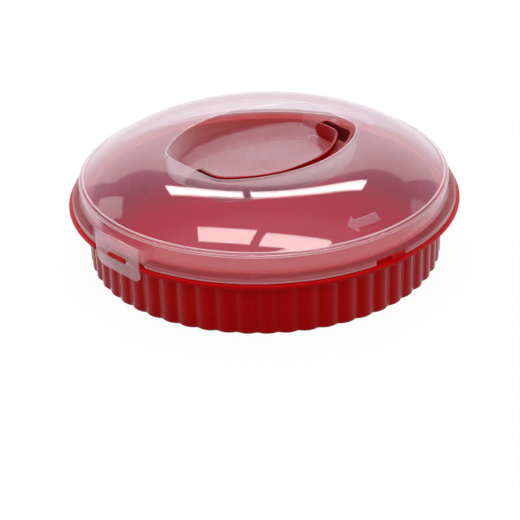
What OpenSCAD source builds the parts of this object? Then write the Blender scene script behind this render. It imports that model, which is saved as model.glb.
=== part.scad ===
// Round cake carrier: fluted dish base, clear domed lid with a hand well,
// fold-away bail handle, and two flip latches on the lid.
// Millimetres. Z is up, the underside of the base sits on z = 0, and the
// handle swings about the X axis. The arc of the handle lies towards -Y.

/* [Base] */
// Outside diameter over the rim of the base
rim_d = 320; // [306:1:336]
// Height of the base, from the underside to the top of the rim
base_h = 54.6; // [48:0.2:62]
// How far the tips of the flutes sit in from the outside of the rim
wall_inset = 15.4; // [14.2:0.2:17]
// Number of flutes round the wall
flute_n = 56; // [48:4:60]
// Radius of each flute
flute_r = 13; // [11.5:0.5:16]
// Wall thickness of the base
base_t = 2.2; // [1.6:0.1:2.6]
// Floor thickness of the base
floor_t = 2.6; // [1.8:0.2:4]
// Drop from the top of the rim to its outer ledge
ledge_drop = 4.1; // [3.7:0.1:5.4]
// Height of the bevel round the foot
foot_bevel = 3.2; // [1:0.2:5]
// Width of each stop block on the ledge
block_w = 13.2; // [10:0.2:19]
// Height of each stop block above the ledge
block_h = 4.2; // [3:0.1:8]

/* [Lid] */
// Wall thickness of the lid
lid_t = 1.8; // [1.4:0.1:2.2]
// Height of the flat top of the lid above the rim of the base
lid_rise = 44.1; // [42.5:0.1:50]
// Radius of the rounded flank of the dome
dome_r = 104; // [98:1:116]
// Width of the hand well between its two flat sides
well_w = 151.8; // [140:0.2:156]
// Length of the hand well from front to back
well_l = 125.6; // [122:0.2:132]
// Depth of the hand well
well_depth = 18.9; // [17.5:0.1:20.5]
// Radius of the two curved sides of the hand well
well_arc_r = 108; // [100:1:120]
// Width of the notch in the lip over each stop block, in degrees
notch_deg = 11.4; // [9.5:0.1:14]
// Height of the raised arrows
arrow_relief = 0.4; // [0.2:0.1:0.8]

/* [Handle] */
// Height of the handle section
grip_h = 12.8; // [11:0.2:13.6]
// Width of the handle section
grip_w = 9.6; // [8.4:0.2:11]
// Wall thickness of the handle section
grip_t = 1.8; // [1.4:0.1:2.2]
// Distance from the pivot line to the far side of the grip
grip_reach = 57.5; // [52:0.5:58.5]
// Diameter of the pivot pins
pin_d = 5; // [4:0.2:6]

/* [Latches] */
// Width of each latch
latch_w = 49.6; // [40:0.2:56]
// Height of each latch below its hinge
latch_drop = 28; // [24:0.2:30]
// Thickness of each latch
latch_t = 1.6; // [1.2:0.1:2]
// Length of the lug each latch snaps over
lug_l = 21; // [14:0.5:26]
// Turn of the latches round the lid away from the pivot line
latch_turn = 3; // [0:0.5:6]

/* [Hidden] */
$fn = 96;

// Base, derived
rim_r = rim_d / 2;
tip_r = rim_r - wall_inset;
lobe_c = tip_r - flute_r;
half_step = 180 / flute_n;
flute_phase = -1.5;
valley_r = lobe_c * cos(half_step) + sqrt(pow(flute_r, 2) - pow(lobe_c * sin(half_step), 2));
in_r = flute_r - base_t;
valley_in = lobe_c * cos(half_step) + sqrt(pow(in_r, 2) - pow(lobe_c * sin(half_step), 2));
core_gap = 0.8;
rim_t = 2;
stand_r = rim_r - 4.8;
ledge_z = base_h - ledge_drop;
drop_in = 2;
drop_lip = 4;
block_r0 = stand_r + 0.4;
block_r1 = block_r0 + 2;
foot_in = 3.6;
edge = 0.7;

// Lid, derived
seat_gap = 0.2;
lip_gap = 0.3;
skirt_r = rim_r - 9;
flank_w = 74;
lip_r = stand_r + lip_gap + lid_t - 0.1;
lip_drop = 3.3;
seat_z = base_h + seat_gap;
top_z = base_h + lid_rise;
dome_c = skirt_r - flank_w;
dome_cz = top_z - dome_r;
bead_r = 2;
bead_c = skirt_r - bead_r;
bead_z = dome_cz + sqrt(pow(dome_r, 2) - pow(bead_c - dome_c, 2)) + 0.6;
dome_end = bead_c - 1.4;
well_hw = well_w / 2;
well_hl = well_l / 2;
well_floor = top_z - well_depth;
well_round = sqrt(pow(well_hw, 2) + pow(well_hl * 0.4, 2));
notch_a0 = -90 - notch_deg + 3.6;
notch_in = stand_r + 0.1;
post_r = 9.2;
post_h = 4.2;
post_t = 2;
post_in = 7;
gate_d = 5;
gate_h = 0.3;
boss_d = pin_d + 5;
boss_l = 3.4;
pin_gap = 0.05;

// Arrow on the dome, derived
arrow_mid = skirt_r - 14.5;
arrow_shaft = 6.4;
head_out = arrow_mid + 5.2;
head_in = arrow_mid - 5.2;
arrow_tail_a = -90.6;
arrow_neck_a = -99.8;
arrow_tip_a = -102.8;

// Handle, derived
arm_out = well_hw - 3;
arm_in = arm_out - grip_w;
pivot_z = well_floor + 0.25 + grip_h / 2;
grip_arc = well_arc_r;
grip_cy = grip_arc - grip_reach;
hole_arc = 0.76 * grip_arc;
hole_cy = hole_arc - grip_reach + grip_w;
grip_round = 12;
hole_round = 18;
web_t = 2;
pocket_y = 3;
window_x = 44;
pin_end = well_hw + lid_t + 1.6;

// Latches, derived
flat_x = stand_r - 0.7;
flat_w = latch_w + 2.6;
pad_x = stand_r;
pad_hw = latch_w / 2 + 5.4;
pad_root = 5.5;
pad_edge_x = skirt_r - 0.8;
hinge_x = stand_r + 0.7;
hinge_z = base_h + 9.8;
pad_low_z = hinge_z + 2;
pad_top_z = hinge_z + 4.6;
hinge_rad = 1.3;
hinge_gap = 0.05;
lug_z = ledge_z + 0.4;
lug_h = 3.8;
lug_out = 3.4;
slot_gap = 0.6;
bow_r = 90;
bow_x = stand_r + 0.9 - bow_r;
bow_z = lug_z + 7;
latch_round = 7.5;
latch_bottom = hinge_z - latch_drop;

// Which part to draw, "all" for the whole carrier

// ---------------------------------------------------------------- base

// Scalloped outline: a core disc with one rounded lobe per flute
module flutes_2d(lobe_rad, core_rad) {
    union() {
        circle(r = core_rad);
        for (i = [0 : flute_n - 1])
            rotate(i * 2 * half_step + flute_phase)
                translate([lobe_c, 0])
                    circle(r = lobe_rad);
    }
}

// Limits of the wall, with a bevel at the foot
module base_envelope() {
    rotate_extrude()
        polygon([
            [0, 0],
            [tip_r - foot_in, 0],
            [tip_r + 0.4, foot_bevel],
            [tip_r + 0.4, base_h - 1],
            [0, base_h - 1]
        ]);
}

// Stepped rim: a flat top, an outer face for the lid lip, a ledge and a drop
module rim_profile() {
    union() {
        polygon([
            [valley_in - 0.5, base_h - rim_t],
            [stand_r, base_h - rim_t],
            [stand_r, base_h - edge],
            [stand_r - edge, base_h],
            [valley_in - 0.5, base_h]
        ]);
        translate([stand_r - rim_t, ledge_z - rim_t])
            square([rim_t, ledge_drop + rim_t - edge]);
        translate([stand_r - rim_t, ledge_z - rim_t])
            square([rim_r - stand_r + rim_t, rim_t]);
        translate([rim_r - drop_in - rim_t, ledge_z - drop_lip])
            square([rim_t, drop_lip - 0.5]);
    }
}

// Straight recess in the rim, where a latch lies against it
module rim_flat(turn) {
    rotate([0, 0, turn])
        translate([flat_x, -flat_w / 2, ledge_z - drop_lip - 1])
            cube([20, flat_w, drop_lip + 2]);
}

// Lug that snaps through the slot of a latch
module lug(turn) {
    rotate([0, 0, turn])
        translate([stand_r - 1.2, -lug_l / 2, lug_z - lug_h / 2])
            cube([1.2 + lug_out, lug_l, lug_h]);
}

// Stop block standing on the ledge
module stop_block(turn) {
    rotate([0, 0, turn])
        intersection() {
            difference() {
                translate([0, 0, ledge_z - rim_t])
                    cylinder(r = block_r1, h = rim_t + block_h);
                translate([0, 0, ledge_z - rim_t - 1])
                    cylinder(r = block_r0, h = rim_t + block_h + 2);
            }
            translate([block_r0 - 4, -block_w / 2, ledge_z - rim_t])
                cube([20, block_w, rim_t + block_h]);
        }
}

module base() {
    color("firebrick")
        union() {
            difference() {
                union() {
                    intersection() {
                        linear_extrude(height = base_h - 1)
                            flutes_2d(flute_r, valley_r - core_gap);
                        base_envelope();
                    }
                    rotate_extrude()
                        rim_profile();
                }
                translate([0, 0, floor_t])
                    linear_extrude(height = base_h)
                        flutes_2d(in_r, valley_in - core_gap);
                rim_flat(180 + latch_turn);
                rim_flat(latch_turn);
            }
            lug(180 + latch_turn);
            lug(latch_turn);
            stop_block(-90);
            stop_block(90);
        }
}

// ----------------------------------------------------------------- lid

// Section of the lid from its flat top to the hanging lip
module lid_profile() {
    union() {
        translate([0, top_z - lid_t])
            square([dome_c, lid_t]);
        intersection() {
            difference() {
                translate([dome_c, dome_cz])
                    circle(r = dome_r);
                translate([dome_c, dome_cz])
                    circle(r = dome_r - lid_t);
            }
            translate([dome_c, seat_z])
                square([dome_end - dome_c, top_z]);
        }
        translate([bead_c, bead_z])
            circle(r = bead_r);
        translate([skirt_r - lid_t, seat_z])
            square([lid_t, bead_z - seat_z]);
        polygon([
            [skirt_r - lid_t, seat_z],
            [lip_r, seat_z],
            [lip_r, seat_z + lid_t - edge],
            [lip_r - edge, seat_z + lid_t],
            [skirt_r + 0.8, seat_z + lid_t],
            [skirt_r - 0.1, seat_z + lid_t + 0.9],
            [skirt_r - lid_t, seat_z + lid_t + 0.9]
        ]);
        translate([stand_r + lip_gap, seat_z - lip_drop])
            square([lip_r - stand_r - lip_gap, lip_drop + 0.5]);
    }
}

// Outline of the hand well: two flats, two arcs and eased corners
module well_2d(grow) {
    intersection() {
        square([well_w + 2 * grow, 2 * well_l], center = true);
        translate([0, well_arc_r - well_hl])
            circle(r = well_arc_r + grow);
        translate([0, well_hl - well_arc_r])
            circle(r = well_arc_r + grow);
        circle(r = well_round + grow);
    }
}

// Solid form of the pad that carries the hinge of a latch, smaller all
// round by the given amount
module pad(turn, shrink) {
    rotate([0, 0, turn])
        translate([0, pad_hw - shrink, 0])
            rotate([90, 0, 0])
                linear_extrude(height = 2 * (pad_hw - shrink))
                    polygon([
                        [skirt_r - pad_root, seat_z - shrink],
                        [pad_x - shrink, seat_z - shrink],
                        [pad_x - shrink, pad_low_z - shrink * 0.6],
                        [pad_edge_x - shrink * 0.7, pad_top_z - shrink * 0.8],
                        [skirt_r - pad_root, pad_top_z - shrink * 0.8]
                    ]);
}

// Walls of a pad, outside the skirt of the lid
module pad_shell(turn) {
    difference() {
        pad(turn, 0);
        pad(turn, lid_t);
        cylinder(r = skirt_r - lid_t / 2, h = top_z);
    }
}

// Clears the lip under a pad
module lip_gap_cut(turn) {
    rotate([0, 0, turn])
        union() {
            translate([skirt_r - 6, -pad_hw, seat_z - lip_drop - 1])
                cube([30, 2 * pad_hw, lip_drop + 1]);
            translate([pad_x, -pad_hw, seat_z - 1])
                cube([30, 2 * pad_hw, 6]);
        }
}

// Half-round seat for the rolled edge of a latch
module hinge_seat(turn) {
    rotate([0, 0, turn])
        translate([hinge_x, pad_hw + 1, hinge_z])
            rotate([90, 0, 0])
                cylinder(r = hinge_rad + hinge_gap, h = 2 * pad_hw + 2);
}

// Notch in the lip over a stop block
module lip_notch(turn) {
    rotate([0, 0, notch_a0 + turn])
        rotate_extrude(angle = notch_deg)
            translate([notch_in, seat_z - lip_drop - 1])
                square([10, lip_drop + lid_t + 2]);
}

// Arrow outline, curved with the dome
module arrow_2d() {
    union() {
        intersection() {
            difference() {
                circle(r = arrow_mid + arrow_shaft / 2);
                circle(r = arrow_mid - arrow_shaft / 2);
            }
            polygon([
                [0, 0],
                [200 * cos(arrow_tail_a), 200 * sin(arrow_tail_a)],
                [200 * cos(arrow_neck_a - 0.2), 200 * sin(arrow_neck_a - 0.2)]
            ]);
        }
        polygon([
            [head_out * cos(arrow_neck_a), head_out * sin(arrow_neck_a)],
            [arrow_mid * cos(arrow_tip_a), arrow_mid * sin(arrow_tip_a)],
            [head_in * cos(arrow_neck_a), head_in * sin(arrow_neck_a)]
        ]);
    }
}

// Arrow raised on the flank of the dome
module arrow(turn) {
    rotate([0, 0, turn])
        intersection() {
            rotate([0, 0, -105])
                rotate_extrude(angle = 17)
                    intersection() {
                        difference() {
                            translate([dome_c, dome_cz])
                                circle(r = dome_r + arrow_relief);
                            translate([dome_c, dome_cz])
                                circle(r = dome_r - 0.6);
                        }
                        translate([arrow_mid - 12, seat_z])
                            square([24, top_z]);
                    }
            linear_extrude(height = top_z + 10)
                arrow_2d();
        }
}

// Low rounded post on the floor of the well, beside an arm of the handle
module well_post(side) {
    intersection() {
        translate([side * (arm_in - post_in) - post_t / 2, 0, well_floor + post_h - post_r])
            rotate([0, 90, 0])
                cylinder(r = post_r, h = post_t);
        translate([side * (arm_in - post_in) - post_t, -post_r, well_floor - 0.5])
            cube([2 * post_t, 2 * post_r, post_h + 2]);
    }
}

// Pivot boss behind a flat side of the well
module pivot_boss(side) {
    translate([side * (well_hw + lid_t - 0.5), 0, pivot_z])
        rotate([0, side * 90, 0])
            cylinder(d = boss_d, h = boss_l + 0.5);
}

// Blind bore for a pivot pin
module pivot_bore(side) {
    translate([side * (well_hw - 1), 0, pivot_z])
        rotate([0, side * 90, 0])
            cylinder(r = pin_d / 2 + pin_gap, h = 1 + pin_end - well_hw + 0.3);
}

// Everything under the outer surface of the dome
module dome_solid() {
    rotate_extrude()
        intersection() {
            union() {
                square([dome_c, top_z]);
                translate([dome_c, dome_cz])
                    circle(r = dome_r);
            }
            square([skirt_r - lid_t, top_z]);
        }
}

// Cup of the hand well, ending at the surface of the dome
module well_cup() {
    difference() {
        intersection() {
            translate([0, 0, well_floor - lid_t])
                linear_extrude(height = well_depth + lid_t)
                    well_2d(lid_t);
            dome_solid();
        }
        translate([0, 0, well_floor])
            linear_extrude(height = well_depth + 5)
                well_2d(0);
    }
}

module lid() {
    color([0.9, 0.92, 0.94, 0.5])
        difference() {
            union() {
                difference() {
                    rotate_extrude()
                        lid_profile();
                    pad(180 + latch_turn, lid_t);
                    pad(latch_turn, lid_t);
                    translate([0, 0, well_floor])
                        linear_extrude(height = well_depth + 5)
                            well_2d(0);
                }
                pad_shell(180 + latch_turn);
                pad_shell(latch_turn);
                well_cup();
                pivot_boss(1);
                pivot_boss(-1);
                well_post(1);
                well_post(-1);
                translate([0, 0, well_floor - 0.5])
                    cylinder(d = gate_d, h = 0.5 + gate_h);
                arrow(0);
                arrow(180);
            }
            pivot_bore(1);
            pivot_bore(-1);
            lip_notch(0);
            lip_notch(180);
            lip_gap_cut(180 + latch_turn);
            lip_gap_cut(latch_turn);
            hinge_seat(180 + latch_turn);
            hinge_seat(latch_turn);
        }
}

// -------------------------------------------------------------- handle

// Circle on the Y axis that touches a fillet between arm and arc where the
// fillet has turned by the given angle
module corner_circle(arc, cy, arm, fillet, inset, turned) {
    fx = arm - fillet;
    fy = cy - sqrt(pow(arc - fillet, 2) - pow(fx, 2));
    reach = fx / cos(turned) + fillet;
    translate([0, fy + (reach - fillet) * sin(turned)])
        circle(r = reach - inset);
}

// A half disc with two straight arms: the arc has the given radius and
// centre, the arms stand at the given distance to each side, and each
// corner is rounded by a fillet, followed in two steps. All of it is drawn
// in by the inset, about the same centres.
module bow_2d(arc, cy, arm, fillet, inset) {
    intersection() {
        translate([-arm + inset, cy - arc])
            square([2 * (arm - inset), arc - cy + grip_h]);
        translate([0, cy])
            circle(r = arc - inset);
        corner_circle(arc, cy, arm, fillet, inset, 12);
        corner_circle(arc, cy, arm, fillet, inset, 32);
    }
}

// Plan of the grip and its arms, with walls drawn in by the inset
module grip_2d(inset, back) {
    intersection() {
        difference() {
            bow_2d(grip_arc, grip_cy, arm_out, grip_round, inset);
            bow_2d(hole_arc, hole_cy, arm_in, hole_round, -inset);
        }
        translate([-arm_out, -grip_reach])
            square([2 * arm_out, grip_reach + back]);
    }
}

module handle() {
    color("firebrick")
        union() {
            difference() {
                union() {
                    translate([0, 0, pivot_z - grip_h / 2])
                        linear_extrude(height = grip_h)
                            grip_2d(0, 0);
                    translate([arm_in, 0, pivot_z])
                        rotate([0, 90, 0])
                            cylinder(d = grip_h, h = grip_w);
                    translate([-arm_out, 0, pivot_z])
                        rotate([0, 90, 0])
                            cylinder(d = grip_h, h = grip_w);
                }
                for (z0 = [pivot_z + web_t / 2, pivot_z - web_t / 2 - grip_h])
                    translate([0, 0, z0])
                        linear_extrude(height = grip_h)
                            grip_2d(grip_t, pocket_y);
                translate([0, 0, pivot_z - web_t])
                    linear_extrude(height = 2 * web_t)
                        difference() {
                            grip_2d(grip_t, pocket_y);
                            translate([-window_x, -2 * grip_reach])
                                square([2 * window_x, 3 * grip_reach]);
                        }
            }
            translate([arm_out - 0.5, 0, pivot_z])
                rotate([0, 90, 0])
                    cylinder(d = pin_d, h = pin_end - arm_out + 0.5);
            translate([-arm_out + 0.5, 0, pivot_z])
                rotate([0, -90, 0])
                    cylinder(d = pin_d, h = pin_end - arm_out + 0.5);
        }
}

// ------------------------------------------------------------- latches

// Face of a latch, with its lower corners rounded
module latch_face_2d() {
    union() {
        translate([-latch_w / 2, latch_bottom + latch_round])
            square([latch_w, latch_drop]);
        translate([-latch_w / 2 + latch_round, latch_bottom])
            square([latch_w - 2 * latch_round, latch_round + 1]);
        translate([-latch_w / 2 + latch_round, latch_bottom + latch_round])
            circle(r = latch_round);
        translate([latch_w / 2 - latch_round, latch_bottom + latch_round])
            circle(r = latch_round);
    }
}

// Slot with round ends
module slot_2d() {
    union() {
        square([lug_l - lug_h, lug_h + 2 * slot_gap], center = true);
        translate([lug_l / 2 - lug_h / 2, 0])
            circle(d = lug_h + 2 * slot_gap);
        translate([-lug_l / 2 + lug_h / 2, 0])
            circle(d = lug_h + 2 * slot_gap);
        square([lug_l + 2 * slot_gap, lug_h + 2 * slot_gap - 1.2], center = true);
    }
}

// Bowed plate with a rolled upper edge, hanging over the rim
module latch(turn) {
    rotate([0, 0, turn])
        difference() {
            union() {
                intersection() {
                    difference() {
                        translate([bow_x, latch_w / 2, bow_z])
                            rotate([90, 0, 0])
                                cylinder(r = bow_r + latch_t, h = latch_w, $fn = 360);
                        translate([bow_x, latch_w / 2 + 1, bow_z])
                            rotate([90, 0, 0])
                                cylinder(r = bow_r, h = latch_w + 2, $fn = 360);
                    }
                    translate([stand_r - 8, 0, 0])
                        rotate([90, 0, 90])
                            linear_extrude(height = 24)
                                intersection() {
                                    latch_face_2d();
                                    translate([-latch_w, 0])
                                        square([2 * latch_w, hinge_z - 0.8]);
                                }
                }
                translate([hinge_x, latch_w / 2, hinge_z])
                    rotate([90, 0, 0])
                        cylinder(r = hinge_rad, h = latch_w);
            }
            translate([stand_r - 8, 0, lug_z])
                rotate([90, 0, 90])
                    linear_extrude(height = 20)
                        slot_2d();
        }
}

module latch_front() {
    color([0.9, 0.92, 0.94, 0.5])
        latch(180 + latch_turn);
}

module latch_rear() {
    color([0.9, 0.92, 0.94, 0.5])
        latch(latch_turn);
}

base();
lid();
handle();
latch_front();
latch_rear();
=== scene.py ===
"""Looks of a round cake carrier: a fluted red dish, a clear domed lid with a
hand well, a fold-down handle and two flip latches. Sizes are in millimetres
and are turned to metres where a mesh is made. +Z is up, and the handle turns
about X."""

import math

import bmesh
import bpy
import numpy as np
from mathutils import Matrix, Vector


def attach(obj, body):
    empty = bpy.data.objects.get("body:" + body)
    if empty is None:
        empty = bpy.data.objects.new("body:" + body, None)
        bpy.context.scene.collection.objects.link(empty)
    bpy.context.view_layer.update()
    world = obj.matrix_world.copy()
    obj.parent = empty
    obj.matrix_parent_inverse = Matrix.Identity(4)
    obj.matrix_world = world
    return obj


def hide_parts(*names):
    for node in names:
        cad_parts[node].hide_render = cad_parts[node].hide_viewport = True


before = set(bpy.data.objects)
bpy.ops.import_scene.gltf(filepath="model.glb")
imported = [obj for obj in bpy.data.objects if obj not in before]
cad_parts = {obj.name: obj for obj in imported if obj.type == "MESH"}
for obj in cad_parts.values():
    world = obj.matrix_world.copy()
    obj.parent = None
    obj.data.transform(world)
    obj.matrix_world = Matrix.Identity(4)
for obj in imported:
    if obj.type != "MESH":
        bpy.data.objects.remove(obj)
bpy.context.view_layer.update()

# ------------------------------------------------------------------ base
# The dish the cake stands on: one shot of red polypropylene, polished where
# it shows. Its wall is fluted all round, and its rim steps up inside the lid.
# Two flats with a lug each are left in the rim for the latches.

RIM_R = 160.0
RIM_TOP = 54.6
RIM_T = 2.0
LEDGE_Z = 50.5
LEDGE_UNDER = LEDGE_Z - RIM_T
HANG_IN = 156.0
HANG_OUT = HANG_IN + RIM_T
HANG_Z = 46.5
HANG_LEAST = 0.3
STAND_R = 155.2
STAND_IN = STAND_R - RIM_T
FLUTES = 56
FLUTE_COLUMNS = 14
FLUTE_R = 13.0
FLUTE_TIP = 144.7
FLUTE_FIRST = -1.5
WALL = 2.2
WALL_LEAN = 0.8
FLOOR = 2.6
RING_H = 9.0
FADE_H = 22.0
FADE_LEAN = WALL_LEAN * 0.6
BLOCK_AT = (-90.0, 90.0)
BLOCK_TOP = 54.7
BLOCK_IN = 155.6
BLOCK_OUT = 157.6
BLOCK_HALF = 2.4
LATCH_AT = (183.0, 3.0)
RECESS_X = 154.5
RECESS_HALF = 26.1
RECESS_TOP = 51.5


def off(azimuth, centre):
    """Signed angle from centre to azimuth in degrees, from -180 to 180."""
    return (azimuth - centre + 180) % 360 - 180


def from_latch(azimuth):
    """Signed angle in degrees from the nearer of the two latches."""
    first, second = (off(azimuth, at) for at in LATCH_AT)
    return np.where(np.abs(first) < 90, first, second)


def columns(step, edges, gap=0.012):
    """Azimuths in degrees for the columns of a turned shape: even steps round
    the circle, and a close pair, a gap to each side, at each azimuth where the
    section jumps."""
    even = np.arange(-180, 180, step)
    pairs = np.array([off(edge, 0) + d for edge in edges for d in (-gap, gap)])
    clear = np.abs(even[:, None] - pairs).min(1) > 2.5 * gap
    return np.sort(np.concatenate([even[clear], pairs]))


def eased(corners, radii, steps=3, most=0.48):
    """Profile through corners (..., n, 2) with every corner rounded: a curve of
    the second order from the point one radius before the corner to the point
    one radius after it, where a radius is at most this share of an edge."""
    corners = np.asarray(corners, float)
    radii = np.asarray(radii, float)[..., None]
    before = np.concatenate([corners[..., :1, :], corners[..., :-1, :]], -2) - corners
    after = np.concatenate([corners[..., 1:, :], corners[..., -1:, :]], -2) - corners
    long_b = np.linalg.norm(before, axis=-1, keepdims=True)
    long_a = np.linalg.norm(after, axis=-1, keepdims=True)
    start = corners + before / np.maximum(long_b, 1e-9) * np.minimum(radii, long_b * most)
    end = corners + after / np.maximum(long_a, 1e-9) * np.minimum(radii, long_a * most)
    t = np.linspace(0, 1, steps + 1)[:, None]
    curve = (
        (1 - t) ** 2 * start[..., None, :]
        + 2 * (1 - t) * t * corners[..., None, :]
        + t**2 * end[..., None, :]
    )
    return curve.reshape(corners.shape[:-2] + (-1, 2))


def section(outline, azimuth):
    """Profile (columns, rows, 2) through an outline with its corners eased. A
    row of the outline is a radius, a height and a rounding, and the first two
    may change from column to column."""
    corners = [np.stack([r + 0 * azimuth, z + 0 * azimuth], -1) for r, z, _ in outline]
    return eased(np.stack(corners, 1), [rounding for _, _, rounding in outline])


def turned(azimuth, profile):
    """Points of a turned shape: the profile (columns, rows, 2) of radius and
    height, each column swung to its azimuth in degrees."""
    a = np.radians(azimuth)[:, None]
    r, z = profile[..., 0], profile[..., 1]
    return np.stack([r * np.cos(a), r * np.sin(a), z], -1)


def sheet_mesh(name, points, wrap_rows=False, wrap_columns=False, crease=32):
    """Object with a face between each four neighbours of a grid of points in
    millimetres (rows, columns, 3). Points that fall together are merged, faces
    turned outwards, and edges sharper than crease degrees are kept sharp."""
    rows, cols = points.shape[:2]
    index = np.arange(rows * cols).reshape(rows, cols)
    if wrap_rows:
        index = np.concatenate([index, index[:1]], 0)
    if wrap_columns:
        index = np.concatenate([index, index[:, :1]], 1)
    quads = np.stack([index[:-1, :-1], index[:-1, 1:], index[1:, 1:], index[1:, :-1]], -1)
    mesh = bpy.data.meshes.new(name)
    mesh.from_pydata((points.reshape(-1, 3) * 0.001).tolist(), [], quads.reshape(-1, 4).tolist())
    work = bmesh.new()
    work.from_mesh(mesh)
    bmesh.ops.remove_doubles(work, verts=work.verts, dist=1.5e-6)
    bmesh.ops.dissolve_degenerate(work, edges=work.edges, dist=1e-7)
    bmesh.ops.recalc_face_normals(work, faces=work.faces)
    work.to_mesh(mesh)
    work.free()
    mesh.shade_smooth()
    mesh.set_sharp_from_angle(angle=math.radians(crease))
    piece = bpy.data.objects.new(name, mesh)
    bpy.context.scene.collection.objects.link(piece)
    return piece


def lobes(azimuth, tip, split=0.78, bit=0.02):
    """Radius of the fluted outline with its tips at this radius: round lobes
    side by side. Past the split the lobe's own curve gives way to one that
    runs level into the valley; its first slope is taken over the last bit."""
    half = 180 / FLUTES
    centre = FLUTE_TIP - FLUTE_R
    u = np.abs((azimuth - FLUTE_FIRST + half) % (2 * half) - half) / half

    def rise(v):
        """Radius of the round lobe at this share of the way to the valley."""
        d = np.radians(v * half)
        return centre * np.cos(d) + np.sqrt(FLUTE_R**2 - (centre * np.sin(d)) ** 2)

    slope = (rise(split) - rise(split - bit)) / bit
    s = np.clip((u - split) / (1 - split), 0, 1)
    valley = rise(split) + slope * (1 - split) * (s - s**2 / 2)
    return np.where(u < split, rise(np.minimum(u, split)), valley) + tip - FLUTE_TIP


recess_edge = math.degrees(math.atan2(RECESS_HALF, RECESS_X))
base_edges = [at + s * recess_edge for at in LATCH_AT for s in (-1, 1)]
base_edges += [at + s * BLOCK_HALF for at in BLOCK_AT for s in (-1, 1)]
base_az = columns(360 / (FLUTES * FLUTE_COLUMNS), base_edges)
foot = lobes(base_az, FLUTE_TIP)
inside = lobes(base_az, FLUTE_TIP - WALL)
ring = inside.min()
block_z = np.full_like(base_az, LEDGE_Z)
for at in BLOCK_AT:
    block_z[np.abs(off(base_az, at)) < BLOCK_HALF] = BLOCK_TOP
from_flat = from_latch(base_az)
flat = RECESS_X / np.cos(np.radians(from_flat))
limit = np.where(np.abs(from_flat) < recess_edge, flat, RIM_R)
# Where a flat leaves less than HANG_LEAST of the hanging lip, it is left out.
hang = np.where(limit > HANG_IN + HANG_LEAST, HANG_Z, LEDGE_UNDER)

# From the middle of the underside round the rim and back to the middle of the
# floor. Near the rim the inner wall is a smooth ring, into which the flutes fade.
base_outline = [
    (0, 0, 0),
    (foot, 0, 3),
    (foot + WALL_LEAN, RIM_TOP - RIM_T, 0.5),
    (STAND_IN, RIM_TOP - RIM_T, 0),
    (STAND_IN, LEDGE_UNDER, 0.3),
    (np.minimum(HANG_IN, limit), LEDGE_UNDER, 0.3),
    (np.minimum(HANG_IN, limit), hang, 0.3),
    (np.minimum(HANG_OUT, limit), hang, 0.6),
    (np.minimum(HANG_OUT, limit), LEDGE_UNDER, 0.2),
    (limit, LEDGE_UNDER, 0.5),
    (limit, LEDGE_Z, 0.6),
    (np.minimum(BLOCK_OUT, limit), LEDGE_Z, 0.2),
    (np.minimum(BLOCK_OUT, limit), block_z, 0.5),
    (np.minimum(BLOCK_IN, limit), block_z, 0.5),
    (np.minimum(BLOCK_IN, limit), LEDGE_Z, 0),
    (np.minimum(STAND_R, limit), LEDGE_Z, 0.3),
    (np.minimum(STAND_R, limit), RECESS_TOP, 0),
    (STAND_R, RECESS_TOP, 0),
    (STAND_R, RIM_TOP, 0.9),
    (ring, RIM_TOP, 0.9),
    (ring, RIM_TOP - RING_H, 4),
    (inside + FADE_LEAN, RIM_TOP - FADE_H, 4),
    (inside, FLOOR, 3),
    (0, FLOOR, 0),
]
base_points = turned(base_az, section(base_outline, base_az))
base = sheet_mesh("base_dish", base_points, wrap_rows=True)
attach(base, "base")
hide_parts("base")

LUG_IN = 153.6
LUG_OUT = 158.5
LUG_HALF_L = 10.5
LUG_HALF_H = 1.9
LUG_Z = 50.9


def stadium(half_long, half_high, inset, steps=40):
    """Outline of a bar with round ends, as distances along and up, moved
    inwards by inset: a circle cut at its middle, its halves set apart."""
    t = np.linspace(0, 2 * np.pi, steps, endpoint=False) + np.pi / steps
    radius = np.maximum(half_high - inset[:, None], 0)
    along = np.sign(np.cos(t)) * (half_long - half_high) + radius * np.cos(t)
    return along, radius * np.sin(t)


def lug(azimuth):
    """Points of a lug: a stadium outline drawn out along the radius, with its
    outer edge eased, then turned about Z by azimuth degrees."""
    line = [(LUG_HALF_H, LUG_OUT), (0, LUG_OUT), (0, LUG_IN), (LUG_HALF_H, LUG_IN)]
    line = eased(line, [0, 0.7, 0, 0])
    along, up = stadium(LUG_HALF_L, LUG_HALF_H, line[:, 0])
    out = line[:, 1][:, None]
    a = math.radians(azimuth)
    x = out * math.cos(a) - along * math.sin(a)
    y = out * math.sin(a) + along * math.cos(a)
    return np.stack([x, y, LUG_Z + up], -1)


lugs = [sheet_mesh(f"rim_lug_{i + 1}", lug(a), wrap_columns=True) for i, a in enumerate(LATCH_AT)]
for piece in lugs:
    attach(piece, "base")


def linear(code):
    """Linear colour of an sRGB hex code."""
    part = np.array([int(code[i : i + 2], 16) for i in (1, 3, 5)]) / 255
    part = np.where(part <= 0.04045, part / 12.92, ((part + 0.055) / 1.055) ** 2.4)
    return (*part.tolist(), 1.0)


def finish(name):
    """New empty material with only its output, by name."""
    made = bpy.data.materials.new(name)
    made.use_nodes = True
    made.node_tree.nodes.clear()
    made.node_tree.nodes.new("ShaderNodeOutputMaterial")
    return made


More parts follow.
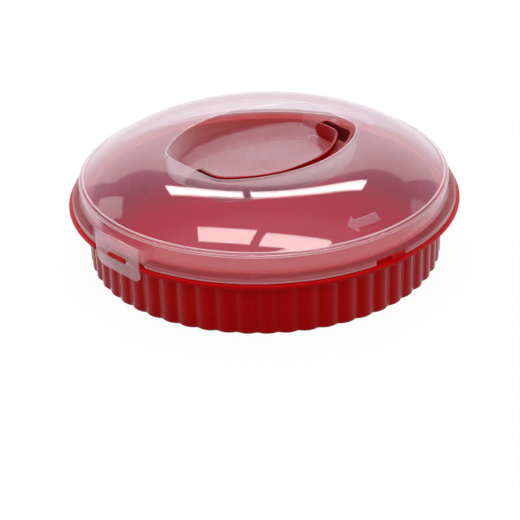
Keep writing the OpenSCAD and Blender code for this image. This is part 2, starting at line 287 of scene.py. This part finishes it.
def put(owner, kind, out=None, **settings):
    """Adds a node of this kind to a material or world. Each setting is a
    property, or an input by its name with _ for a space or by _ and its
    number, and takes a value or another node's output. out names the input
    of the output node that this node feeds."""
    tree = owner.node_tree
    made = tree.nodes.new("ShaderNode" + kind)
    for key, value in settings.items():
        if key[0] == "_":
            socket = made.inputs[int(key[1:])]
        else:
            socket = made.inputs.get(key.replace("_", " "))
        if isinstance(value, bpy.types.NodeSocket):
            tree.links.new(value, socket)
        elif socket is not None:
            socket.default_value = value
        else:
            setattr(made, key, value)
    if out:
        last = next(n for n in tree.nodes if n.bl_idname.startswith("ShaderNodeOutput"))
        tree.links.new(made.outputs[0], last.inputs[out])
    return made.outputs[0]


# Polypropylene with red masterbatch, moulded against polished steel: a deep
# even red with a soft, slightly wide highlight.
red_plastic = finish("red_moulded_polypropylene")
put(
    red_plastic,
    "BsdfPrincipled",
    out="Surface",
    Base_Color=linear("#BA0407"),
    Roughness=0.17,
    IOR=1.49,
    Specular_IOR_Level=0.18,
    Specular_Tint=linear("#FF3030"),
)
for piece in (base, *lugs):
    piece.data.materials.append(red_plastic)

# ------------------------------------------------------------------- lid
# The cover: one shot of natural polypropylene, 1.8 mm thick, clear enough to
# see the cake through. A hand well is sunk in the top of the dome, a bead and
# a straight skirt stiffen the edge, and a lip hangs over the rim of the dish.

TOP = 98.7
LID_T = 1.8
FLANK_R = 104.0
FLANK_IN = 77.0
FLANK_Z = TOP - FLANK_R
DOME_IN = 1.6
DOME_END = 145.9
DOME_ROWS = 44
UNDER_IN = LID_T + 1.2
UNDER_END = DOME_END - 0.6
UNDER_ROWS = 30
WELL_HALF_W = 75.9
WELL_HALF_L = 62.8
WELL_ARC = 108.0
WELL_FLOOR = 79.8
WELL_LEAN = 2.2
WELL_EASE = 0.8
GATE_R = 2.6
GATE_H = 0.3
GATE_EASE = 0.5
SKIRT_R = 151.0
SKIRT_IN = SKIRT_R - LID_T
BEAD_TOP = 73.2
SEAT_Z = 54.8
FLANGE_Z = SEAT_Z + LID_T
LIP_R = 157.2
LIP_Z = 51.5
LIP_IN = 155.5
NOTCH_IN = 155.3
NOTCH_AT = (-92.1, 87.9)
NOTCH_HALF = 5.7
PAD_X = 155.2
PAD_IN = PAD_X - LID_T
PAD_HALF = 30.2
PAD_TOP = 66.4
PAD_ROOF = 65.3
PAD_ROOF_END = 67.4
LID_STEP = 0.68

# The shoulder from the dome outwards: a bead, two thin ribs and the start of
# the skirt. A row is how far the corner lies outside the skirt's face and over
# the top of the bead, and its rounding. The inner side goes the other way.
SHOULDER = (
    (-4.7, -0.9, 0.3),
    (-4.2, 0.0, 0.3),
    (-3.0, -0.2, 0.5),
    (-2.0, -1.6, 0.4),
    (-0.9, -1.7, 0.4),
    (-0.5, -2.8, 0.2),
    (0.0, -3.0, 0.25),
    (0.0, -4.2, 0.2),
)
SHOULDER_INSIDE = ((-1.8, -2.8, 0.8), (-3.8, -2.0, 0.5))


def dome_height(r, depth=0.0):
    """Height of the dome at radius r: flat to the start of the flank, then a
    circle arc; depth is how far under the outer surface."""
    return FLANK_Z + np.sqrt((FLANK_R - depth) ** 2 - np.maximum(r - FLANK_IN, 0) ** 2)


def well_radius(azimuth, power=24.0):
    """Polar radius of the well's edge: the nearer of a flat side and a curved
    end, mixed by a high power so that the corners come out rounded."""
    a = np.radians(azimuth)
    side = WELL_HALF_W / np.maximum(np.abs(np.cos(a)), 1e-6)
    shift = WELL_ARC - WELL_HALF_L
    arc = -shift * np.abs(np.sin(a)) + np.sqrt(WELL_ARC**2 - (shift * np.cos(a)) ** 2)
    return (side**-power + arc**-power) ** (-1 / power)


pad_edge = math.degrees(math.atan2(PAD_HALF, PAD_X))
lid_edges = [at + s * pad_edge for at in LATCH_AT for s in (-1, 1)]
lid_edges += [at + s * NOTCH_HALF for at in NOTCH_AT for s in (-1, 1)]
lid_az = columns(LID_STEP, lid_edges)
well = well_radius(lid_az)
from_pad = from_latch(lid_az)
in_pad = np.abs(from_pad) < pad_edge
in_notch = np.zeros_like(in_pad)
for at in NOTCH_AT:
    in_notch |= np.abs(off(lid_az, at)) < NOTCH_HALF


def corner(rounding, usual, pad, notch=None):
    """Row of an outline whose radius and height are the usual ones, the pad's,
    whose first number is a distance along the latch's axis, or the notch's."""
    flat_pad = pad[0] / np.cos(np.radians(from_pad))
    r = np.where(in_pad, flat_pad, usual[0])
    z = np.where(in_pad, pad[1], usual[1])
    if notch:
        r = np.where(in_notch, notch[0], r)
        z = np.where(in_notch, notch[1], z)
    return r, z, rounding


def between(start, end, rows):
    """Radii (columns, rows) in even steps from start to end."""
    share = np.linspace(0, 1, rows)
    return start[:, None] * (1 - share) + end * share


floor_edge = well - WELL_LEAN
# The last corner only gives the rim of the well its direction, so its four
# points are left out.
centre = section(
    [
        (0, WELL_FLOOR + GATE_H, 0),
        (GATE_R - GATE_EASE, WELL_FLOOR + GATE_H, 0.3),
        (GATE_R, WELL_FLOOR, 0.3),
        (floor_edge, WELL_FLOOR, 2.2),
        (well, TOP, 1.1),
        (well + 2 * DOME_IN, TOP, 0),
    ],
    lid_az,
)[:, :-4]
dome_r = between(well + DOME_IN, DOME_END, DOME_ROWS)
dome = np.stack([dome_r, dome_height(dome_r)], -1)
low_pad = (PAD_X, SEAT_Z)
low_notch = (NOTCH_IN, SEAT_Z)
edge = section(
    [
        *((SKIRT_R + out, BEAD_TOP + up, rounding) for out, up, rounding in SHOULDER),
        corner(0.8, (SKIRT_R, PAD_TOP), (PAD_X, PAD_TOP)),
        corner(1.2, (SKIRT_R, FLANGE_Z), low_pad),
        corner(1.0, (LIP_R, FLANGE_Z), low_pad, (NOTCH_IN, FLANGE_Z)),
        corner(0.5, (LIP_R, LIP_Z), low_pad, low_notch),
        corner(0.3, (LIP_IN, LIP_Z), low_pad, low_notch),
        corner(0.5, (LIP_IN, SEAT_Z), low_pad, low_notch),
        corner(0.3, (SKIRT_IN, SEAT_Z), (PAD_IN, SEAT_Z)),
        corner(0.3, (SKIRT_IN, PAD_ROOF), (PAD_IN, PAD_ROOF)),
        (SKIRT_IN, PAD_ROOF_END, 0.3),
        *((SKIRT_R + out, BEAD_TOP + up, rounding) for out, up, rounding in SHOULDER_INSIDE),
    ],
    lid_az,
)
under_r = between(well + UNDER_IN, UNDER_END, UNDER_ROWS)[:, ::-1]
under = np.stack([under_r, dome_height(under_r, LID_T)], -1)
bottom = section(
    [
        (well + LID_T + WELL_EASE, TOP - LID_T, 0),
        (well + LID_T, TOP - LID_T - WELL_EASE, 0),
        (floor_edge + LID_T, WELL_FLOOR - LID_T, 2.6),
        (0, WELL_FLOOR - LID_T, 0),
    ],
    lid_az,
)
lid_profile = np.concatenate([centre, dome, edge, under, bottom], 1)
lid = sheet_mesh("lid_cover", turned(lid_az, lid_profile), wrap_rows=True)
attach(lid, "lid")
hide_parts("lid")

# The arrow's tail, neck and tip are azimuths in degrees, and its shaft and head
# are given by their half widths.
ARROW_R = SKIRT_R - 14.5
ARROW_TAIL = -90.6
ARROW_NECK = -99.8
ARROW_TIP = -102.9
ARROW_SHAFT = 3.2
ARROW_HEAD = 6.4
ARROW_RELIEF = 0.34
ARROW_SUNK = 0.6


def arrow(azimuth, rows=60, across=9):
    """Points of a raised arrow on the dome: the strip runs along the azimuth
    and its half width is the shaft's, then the head's down to the tip. Its
    rim goes under the dome's surface, so that only the raised face shows."""
    shaft = np.linspace(ARROW_TAIL, ARROW_NECK, rows)
    head = np.linspace(ARROW_NECK, ARROW_TIP, rows // 3)
    taper = (head - ARROW_TIP) / (ARROW_NECK - ARROW_TIP)
    half = np.concatenate([np.full(rows, ARROW_SHAFT), ARROW_HEAD * taper])
    run = np.concatenate([shaft, head])
    side = np.linspace(-1, 1, across)[:, None]
    r = ARROW_R + half * side
    rim = (np.abs(side) > 0.99) | (np.arange(len(run)) == 0)
    z = dome_height(r) + ARROW_RELIEF - ARROW_SUNK * rim
    a = np.radians(run + azimuth)
    return np.stack([r * np.cos(a), r * np.sin(a), z], -1)


arrows = [sheet_mesh(f"lid_arrow_{i + 1}", arrow(half)) for i, half in enumerate((0, 180))]

POST_R = 9.2
POST_OUT = 57.4
POST_IN = 55.2
POST_SUNK = 5.0
POST_SPAN = (32, 148)
BOSS_R = 5.0
BOSS_IN = 76.2
BOSS_OUT = 81.0
PIVOT_Z = 86.45


def about_x(line, angles, height, side):
    """Points of a shape turned about an axis along X at this height: the line
    holds a radius and a distance along X, which side makes plus or minus."""
    a = np.radians(angles)[:, None]
    r, x = line[:, 0], line[:, 1] * side + 0 * a
    return np.stack([x, r * np.cos(a), r * np.sin(a) + height], -1)


# Two low half-round posts on the floor of the well, discs that the floor cuts
# off, and behind each flat side of the well a short round peg for the pivot.
post_line = [(0, POST_OUT), (POST_R, POST_OUT), (POST_R, POST_IN), (0, POST_IN)]
post_line = eased(post_line, [0, 0.5, 0.5, 0])
post_angles = np.linspace(*POST_SPAN, 48)
boss_line = eased([(BOSS_R, BOSS_IN), (BOSS_R, BOSS_OUT), (0, BOSS_OUT)], [0, 0.6, 0])
boss_angles = np.linspace(0, 360, 40, endpoint=False)
posts, bosses = [], []
for number, side in ((1, -1), (2, 1)):
    points = about_x(post_line, post_angles, WELL_FLOOR - POST_SUNK, side)
    posts.append(sheet_mesh(f"well_post_{number}", points))
for number, side in ((1, -1), (2, 1)):
    points = about_x(boss_line, boss_angles, PIVOT_Z, side)
    bosses.append(sheet_mesh(f"pivot_boss_{number}", points, wrap_rows=True))
for piece in (*arrows, *posts, *bosses):
    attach(piece, "lid")


def clear_plastic(name, haze, slanting, roughness, tint="#E8E5EC", polish=1.0, clear="#FBFAFC"):
    """Natural polypropylene, see-through with a share of milk. The milk adds
    up along the slanting way through the wall: haze, plus slanting times the
    fifth power of 1 less the facing. A part of the light is only spread on its
    way out, so what is behind shows as a soft glow. The gloss on top grows by
    the fifth power too, as on any plastic, times polish."""
    made = finish(name)
    facing = put(made, "LayerWeight", Blend=0.5).node.outputs["Facing"]
    shares = []
    for power, slant, level in (
        (5.0, 0.95 * polish, 0.045 * polish),
        (5.0, slanting, haze),
        (2.0, 0.4, 0.03),
    ):
        raised = put(made, "Math", operation="POWER", _0=facing, _1=power)
        shares.append(put(made, "Math", operation="MULTIPLY_ADD", _0=raised, _1=slant, _2=level))
    gloss, milk, spread = shares
    straight = put(made, "BsdfTransparent", Color=linear(clear))
    glow = put(made, "BsdfTranslucent", Color=linear("#FFF4F4"))
    through = put(made, "MixShader", _0=spread, _1=straight, _2=glow)
    front = put(made, "BsdfDiffuse", Color=linear(tint))
    back = put(made, "BsdfTranslucent", Color=linear(tint))
    white = put(made, "MixShader", _0=0.35, _1=front, _2=back)
    body = put(made, "MixShader", _0=milk, _1=through, _2=white)
    shine = put(made, "BsdfGlossy", Color=linear("#FFFFFF"), Roughness=roughness)
    put(made, "MixShader", out="Surface", _0=gloss, _1=body, _2=shine)
    return made


def of_faces(piece, what):
    """Array (faces, 3) of the center or the normal of each face."""
    values = np.empty(len(piece.data.polygons) * 3)
    piece.data.polygons.foreach_get(what, values)
    return values.reshape(-1, 3)


# Natural polypropylene against polished steel: clear with a little milk.
lid_plastic = clear_plastic("clear_moulded_polypropylene", 0.009, 1.3, 0.012)
# Painted highlight: its thin crests, the rim of the well and the foot of the
# lip get much more milk, which whitens them to stand in for highlight lines.
crest_painted_highlight = clear_plastic("clear_polypropylene_crest_painted_highlight", 0.5, 1.2, 0.05, "#FFFAFC")
# Painted shade: where the flange lies on the red rim under the skirt, its clear
# colour is tinted pink and its gloss halved to stand in for the shade of the
# narrow gap. The tint stays when the lid is lifted.
flange_painted_shade = clear_plastic(
    "clear_polypropylene_flange_painted_shade", 0.0, 0.5, 0.05, polish=0.5, clear="#EACCD2"
)
# The arrows are left unpolished in the mould, so they look frosted.
frosted_plastic = clear_plastic("frosted_polypropylene", 0.15, 1.2, 0.4)
for piece in (lid, *posts, *bosses):
    piece.data.materials.append(lid_plastic)
for piece in arrows:
    piece.data.materials.append(frosted_plastic)
lid.data.materials.append(crest_painted_highlight)
lid.data.materials.append(flange_painted_shade)

# Rings of faces that get the crest's painted highlight, by lowest and highest
# point and by inner and outer radius: the bead, the two ribs and the foot of the lip.
PAINTED_HIGHLIGHT_RINGS = (
    (BEAD_TOP - 0.3, TOP, SKIRT_R - 4.6, SKIRT_R - 2.8),
    (BEAD_TOP - 2.0, BEAD_TOP - 1.2, SKIRT_R - 1.4, SKIRT_R - 0.6),
    (BEAD_TOP - 3.3, BEAD_TOP - 2.7, SKIRT_R - 0.6, LIP_R),
    (0.0, LIP_Z + 1.5, LIP_IN - 0.1, RIM_R),
)
# Ring of faces that get the flange's painted shade.
FLANGE_RING = (SEAT_Z - 0.8, FLANGE_Z + 0.8, SKIRT_R + 0.1, LIP_R - 0.2)

middles = of_faces(lid, "center") * 1000
face_r, face_z = np.hypot(middles[:, 0], middles[:, 1]), middles[:, 2]
face_well = well_radius(np.degrees(np.arctan2(middles[:, 1], middles[:, 0])))


def in_ring(low, high, inner, outer):
    """Which faces of the lid have their middle in this ring."""
    return (face_z > low) & (face_z < high) & (face_r > inner) & (face_r < outer)


# The faces along the rim of the well get the painted highlight too.
crest = (face_z > TOP - 0.7) & (np.abs(face_r - face_well - 0.2) < 0.6)
for limits in PAINTED_HIGHLIGHT_RINGS:
    crest |= in_ring(*limits)
# Material index 1 is the crests' painted highlight, 2 the flange's painted shade.
painted_light_index = crest + 2 * in_ring(*FLANGE_RING)
lid.data.polygons.foreach_set("material_index", painted_light_index.astype(np.int32))

# ---------------------------------------------------------------- handle
# The carrying handle: red polypropylene like the dish, two flanges with open
# slots in the arms, snapped into the sides of the well on two short pins.

HANDLE_EDGE = 0.45
SLOT_WALLS = ((65.1, 1), (71.1, -1))


def softened(name, node, width, crease=30):
    """Copy of a CAD node with its flat faces joined up and its edges rounded
    by a bevel of this width in millimetres."""
    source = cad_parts[node]
    piece = bpy.data.objects.new(name, source.data.copy())
    bpy.context.scene.collection.objects.link(piece)
    work = bmesh.new()
    work.from_mesh(piece.data)
    bmesh.ops.remove_doubles(work, verts=work.verts, dist=1e-6)
    bmesh.ops.dissolve_limit(
        work, angle_limit=math.radians(1.0), verts=work.verts, edges=work.edges
    )
    work.to_mesh(piece.data)
    work.free()
    piece.data.shade_smooth()
    bevel = piece.modifiers.new("rounded_edges", "BEVEL")
    bevel.width = width * 0.001
    bevel.segments = 2
    bevel.limit_method = "ANGLE"
    bevel.angle_limit = math.radians(crease)
    bevel.harden_normals = True
    piece.data.materials.clear()
    return piece


handle = softened("carry_handle", "handle", HANDLE_EDGE)
# Painted shade: the handle is the same red plastic as the dish, but its colour
# is set a darker, even red to stand in for the little light deep in the well.
handle_painted_shade = finish("red_polypropylene_handle_painted_shade")
put(
    handle_painted_shade,
    "BsdfPrincipled",
    out="Surface",
    Base_Color=linear("#98040A"),
    Roughness=0.2,
    IOR=1.49,
    Specular_IOR_Level=0.3,
    Specular_Tint=linear("#FF8080"),
)
handle.data.materials.append(handle_painted_shade)
# Painted shade: the walls of the slots in the arms get a darker, matt red that
# stands in for the shade deep in the slots.
slot_painted_shade = finish("red_polypropylene_slot_painted_shade")
put(slot_painted_shade, "BsdfPrincipled", out="Surface", Base_Color=linear("#6A0204"), Roughness=0.5)
handle.data.materials.append(slot_painted_shade)
face_x = of_faces(handle, "center")[:, 0] * 1000
outward = of_faces(handle, "normal")[:, 0] * np.sign(face_x)
slot_shade_faces = np.zeros(len(face_x), bool)
for wall_x, facing in SLOT_WALLS:
    slot_shade_faces |= (np.abs(np.abs(face_x) - wall_x) < 0.4) & (outward * facing > 0.8)
handle.data.polygons.foreach_set("material_index", slot_shade_faces.astype(np.int32))
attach(handle, "handle")
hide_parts("handle")

# --------------------------------------------------------------- latches
# Two flip latches, moulded with the lid in the same clear plastic and bent
# down on a thin line. Each has a slot that snaps over a lug of the rim. The
# faces that round their cut edges get the crest's painted highlight, as the lid's crests do.

LATCH_EDGE = 0.6

latch_plastic = clear_plastic("clear_latch_polypropylene", 0.14, 1.2, 0.06, "#FFE6EA")
for end in ("front", "rear"):
    latch = softened(f"flip_latch_{end}", f"latch_{end}", LATCH_EDGE)
    latch.data.materials.append(latch_plastic)
    latch.data.materials.append(crest_painted_highlight)
    latch.modifiers["rounded_edges"].material = 1
    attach(latch, f"latch_{end}")
    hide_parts(f"latch_{end}")

# ---------------------------------------------------------------- studio
# A white floor, a lit white wall behind, four window panes overhead and three
# soft boxes, all placed in metres as the camera sees them. The camera stands
# where the photo's did.

CAMERA_AZ = math.radians(-40.0)
BACK = np.array([-math.sin(CAMERA_AZ), math.cos(CAMERA_AZ), 0.0])
RIGHT = np.array([math.cos(CAMERA_AZ), math.sin(CAMERA_AZ), 0.0])
UP = np.array([0.0, 0.0, 1.0])

FLOOR_ENDS = (-6000.0, 6000.0)
FLOOR_Z = -0.4
floor_points = [[(x, y, FLOOR_Z) for x in FLOOR_ENDS] for y in FLOOR_ENDS]
floor_sheet = sheet_mesh("floor", np.array(floor_points))
# White paint that the camera and the gloss see as white, with a faint shadow
# left on it for the camera.
floor_paint = finish("white_floor")
rays = put(floor_paint, "LightPath").node.outputs
paint = put(floor_paint, "BsdfDiffuse", Color=linear("#BCBCBC"))
glow = put(floor_paint, "Emission", Color=linear("#FFFFFF"), Strength=1.04)
mirrored = put(floor_paint, "Emission", Color=linear("#FDF6FF"), Strength=1.0)
share = put(floor_paint, "Math", operation="MULTIPLY", _0=rays["Is Camera Ray"], _1=0.92)
plain = put(floor_paint, "MixShader", _0=share, _1=paint, _2=glow)
put(floor_paint, "MixShader", out="Surface", _0=rays["Is Glossy Ray"], _1=plain, _2=mirrored)
floor_sheet.data.materials.append(floor_paint)

# The lit wall is a little higher on the right: its two ends, by metres to the
# right and height. The dome mirrors it as a pale zone with a clear edge, and
# it grows brighter upwards.
WALL_BACK = 3.0
WALL_ENDS = ((-2.4, 2.0), (2.7, 2.65))
wall_points = [
    [RIGHT * across + BACK * WALL_BACK + UP * z for z in (0.0, height)]
    for across, height in WALL_ENDS
]
wall_sheet = sheet_mesh("back_wall", np.array(wall_points) * 1000)
wall_paint = finish("white_wall")
place = put(wall_paint, "TexCoord").node.outputs["Object"]
rise = put(wall_paint, "SeparateXYZ", Vector=place).node.outputs["Z"]
lit = put(wall_paint, "MapRange", Value=rise, From_Min=0.3, From_Max=1.3, To_Min=0.945, To_Max=1.47)
plain = put(wall_paint, "Emission", Color=linear("#FFFFFF"), Strength=1.0)
mirrored = put(wall_paint, "Emission", Color=linear("#F8F5FF"), Strength=lit)
glossy = put(wall_paint, "LightPath").node.outputs["Is Glossy Ray"]
put(wall_paint, "MixShader", out="Surface", _0=glossy, _1=plain, _2=mirrored)
wall_sheet.data.materials.append(wall_paint)

# An even white room. The camera sees plain white, and gloss mirrors a dim,
# faintly violet ceiling.
room = bpy.data.worlds.new("white_room")
bpy.context.scene.world = room
room.use_nodes = True
room.node_tree.nodes.clear()
room.node_tree.nodes.new("ShaderNodeOutputWorld")
rays = put(room, "LightPath").node.outputs
seen = put(
    room, "Math", operation="MAXIMUM", _0=rays["Is Camera Ray"], _1=rays["Is Transmission Ray"]
)
level = put(room, "MapRange", Value=seen, To_Min=0.5, To_Max=1.0)
plain = put(room, "Background", Color=linear("#FFFFFF"), Strength=level)
ceiling = put(room, "Background", Color=linear("#B1AADA"), Strength=1.0)
put(room, "MixShader", out="Surface", _0=rays["Is Glossy Ray"], _1=plain, _2=ceiling)

# Name, metres to the right, to the back and up, width, depth and radiance.
# Window panes face down and are turned about the vertical by so many degrees;
# soft boxes face a point so many metres over the middle of the table.
WINDOWS = (
    ("window_back_left", -0.39, 1.17, 1.5, 0.56, 0.33, 11.0, 0.0),
    ("window_back_right", 0.33, 1.17, 1.5, 0.8, 0.33, 11.0, 0.0),
    ("window_top_left", -0.39, -0.22, 1.5, 0.57, 0.37, 6.5, -16.0),
    ("window_top_right", 0.33, -0.46, 1.5, 0.76, 0.33, 6.5, -16.0),
)
SOFT_BOXES = (
    ("soft_box_left", -1.51, 0.95, 1.02, 0.5, 0.5, 1.6, 0.08),
    ("soft_box_right", 1.56, 0.78, 1.02, 0.3, 0.3, 0.8, 0.08),
    ("soft_box_front", 0.0, -2.2, 1.9, 1.2, 0.8, 3.0, 0.1),
)


def area_lamp(name, across, behind, height, wide, deep, radiance):
    """Area lamp with this radiance from each unit of its face: its power is
    the radiance times pi times its area."""
    lamp = bpy.data.lights.new(name, "AREA")
    lamp.shape = "RECTANGLE"
    lamp.size = wide
    lamp.size_y = deep
    lamp.color = linear("#FFFDF7")[:3]
    lamp.energy = radiance * math.pi * wide * deep
    placed = bpy.data.objects.new(name, lamp)
    placed.location = RIGHT * across + BACK * behind + UP * height
    bpy.context.scene.collection.objects.link(placed)
    return placed


for *lamp_settings, turn in WINDOWS:
    pane = area_lamp(*lamp_settings)
    pane.rotation_euler = (0, 0, CAMERA_AZ + math.radians(turn))
for *lamp_settings, aim_height in SOFT_BOXES:
    box = area_lamp(*lamp_settings)
    toward = Vector(UP * aim_height) - box.location
    box.rotation_euler = toward.to_track_quat("-Z", "Y").to_euler()

# The photo is PHOTO pixels wide and high. The lens looks at the pixel AXIS_X,
# AXIS_Y of it, and shows a millimetre at its aim as PIXELS_A_MM pixels.
PHOTO = 520
AXIS_X = 263.84
AXIS_Y = 182.06
PIXELS_A_MM = 1.21924
SENSOR = 36.0
ELEVATION = math.radians(25.905)
ROLL = math.radians(1.6008)
DISTANCE = 1.54778
AIM_Z = 0.06

view_to = BACK * math.cos(ELEVATION) - UP * math.sin(ELEVATION)
level_up = np.cross(RIGHT, view_to)
camera_right = RIGHT * math.cos(ROLL) - level_up * math.sin(ROLL)
camera_up = level_up * math.cos(ROLL) + RIGHT * math.sin(ROLL)
matrix = np.eye(4)
matrix[:3] = np.stack([camera_right, camera_up, -view_to, UP * AIM_Z - view_to * DISTANCE], 1)
camera_data = bpy.data.cameras.new("camera")
camera_data.sensor_width = SENSOR
camera_data.lens = PIXELS_A_MM * DISTANCE * 1000 / PHOTO * SENSOR
camera_data.shift_x = (PHOTO / 2 - AXIS_X) / PHOTO
camera_data.shift_y = (AXIS_Y - PHOTO / 2) / PHOTO
camera = bpy.data.objects.new("camera", camera_data)
camera.matrix_world = Matrix(matrix.tolist())
bpy.context.scene.collection.objects.link(camera)
bpy.context.scene.camera = camera
bpy.context.scene.view_settings.view_transform = "Standard"
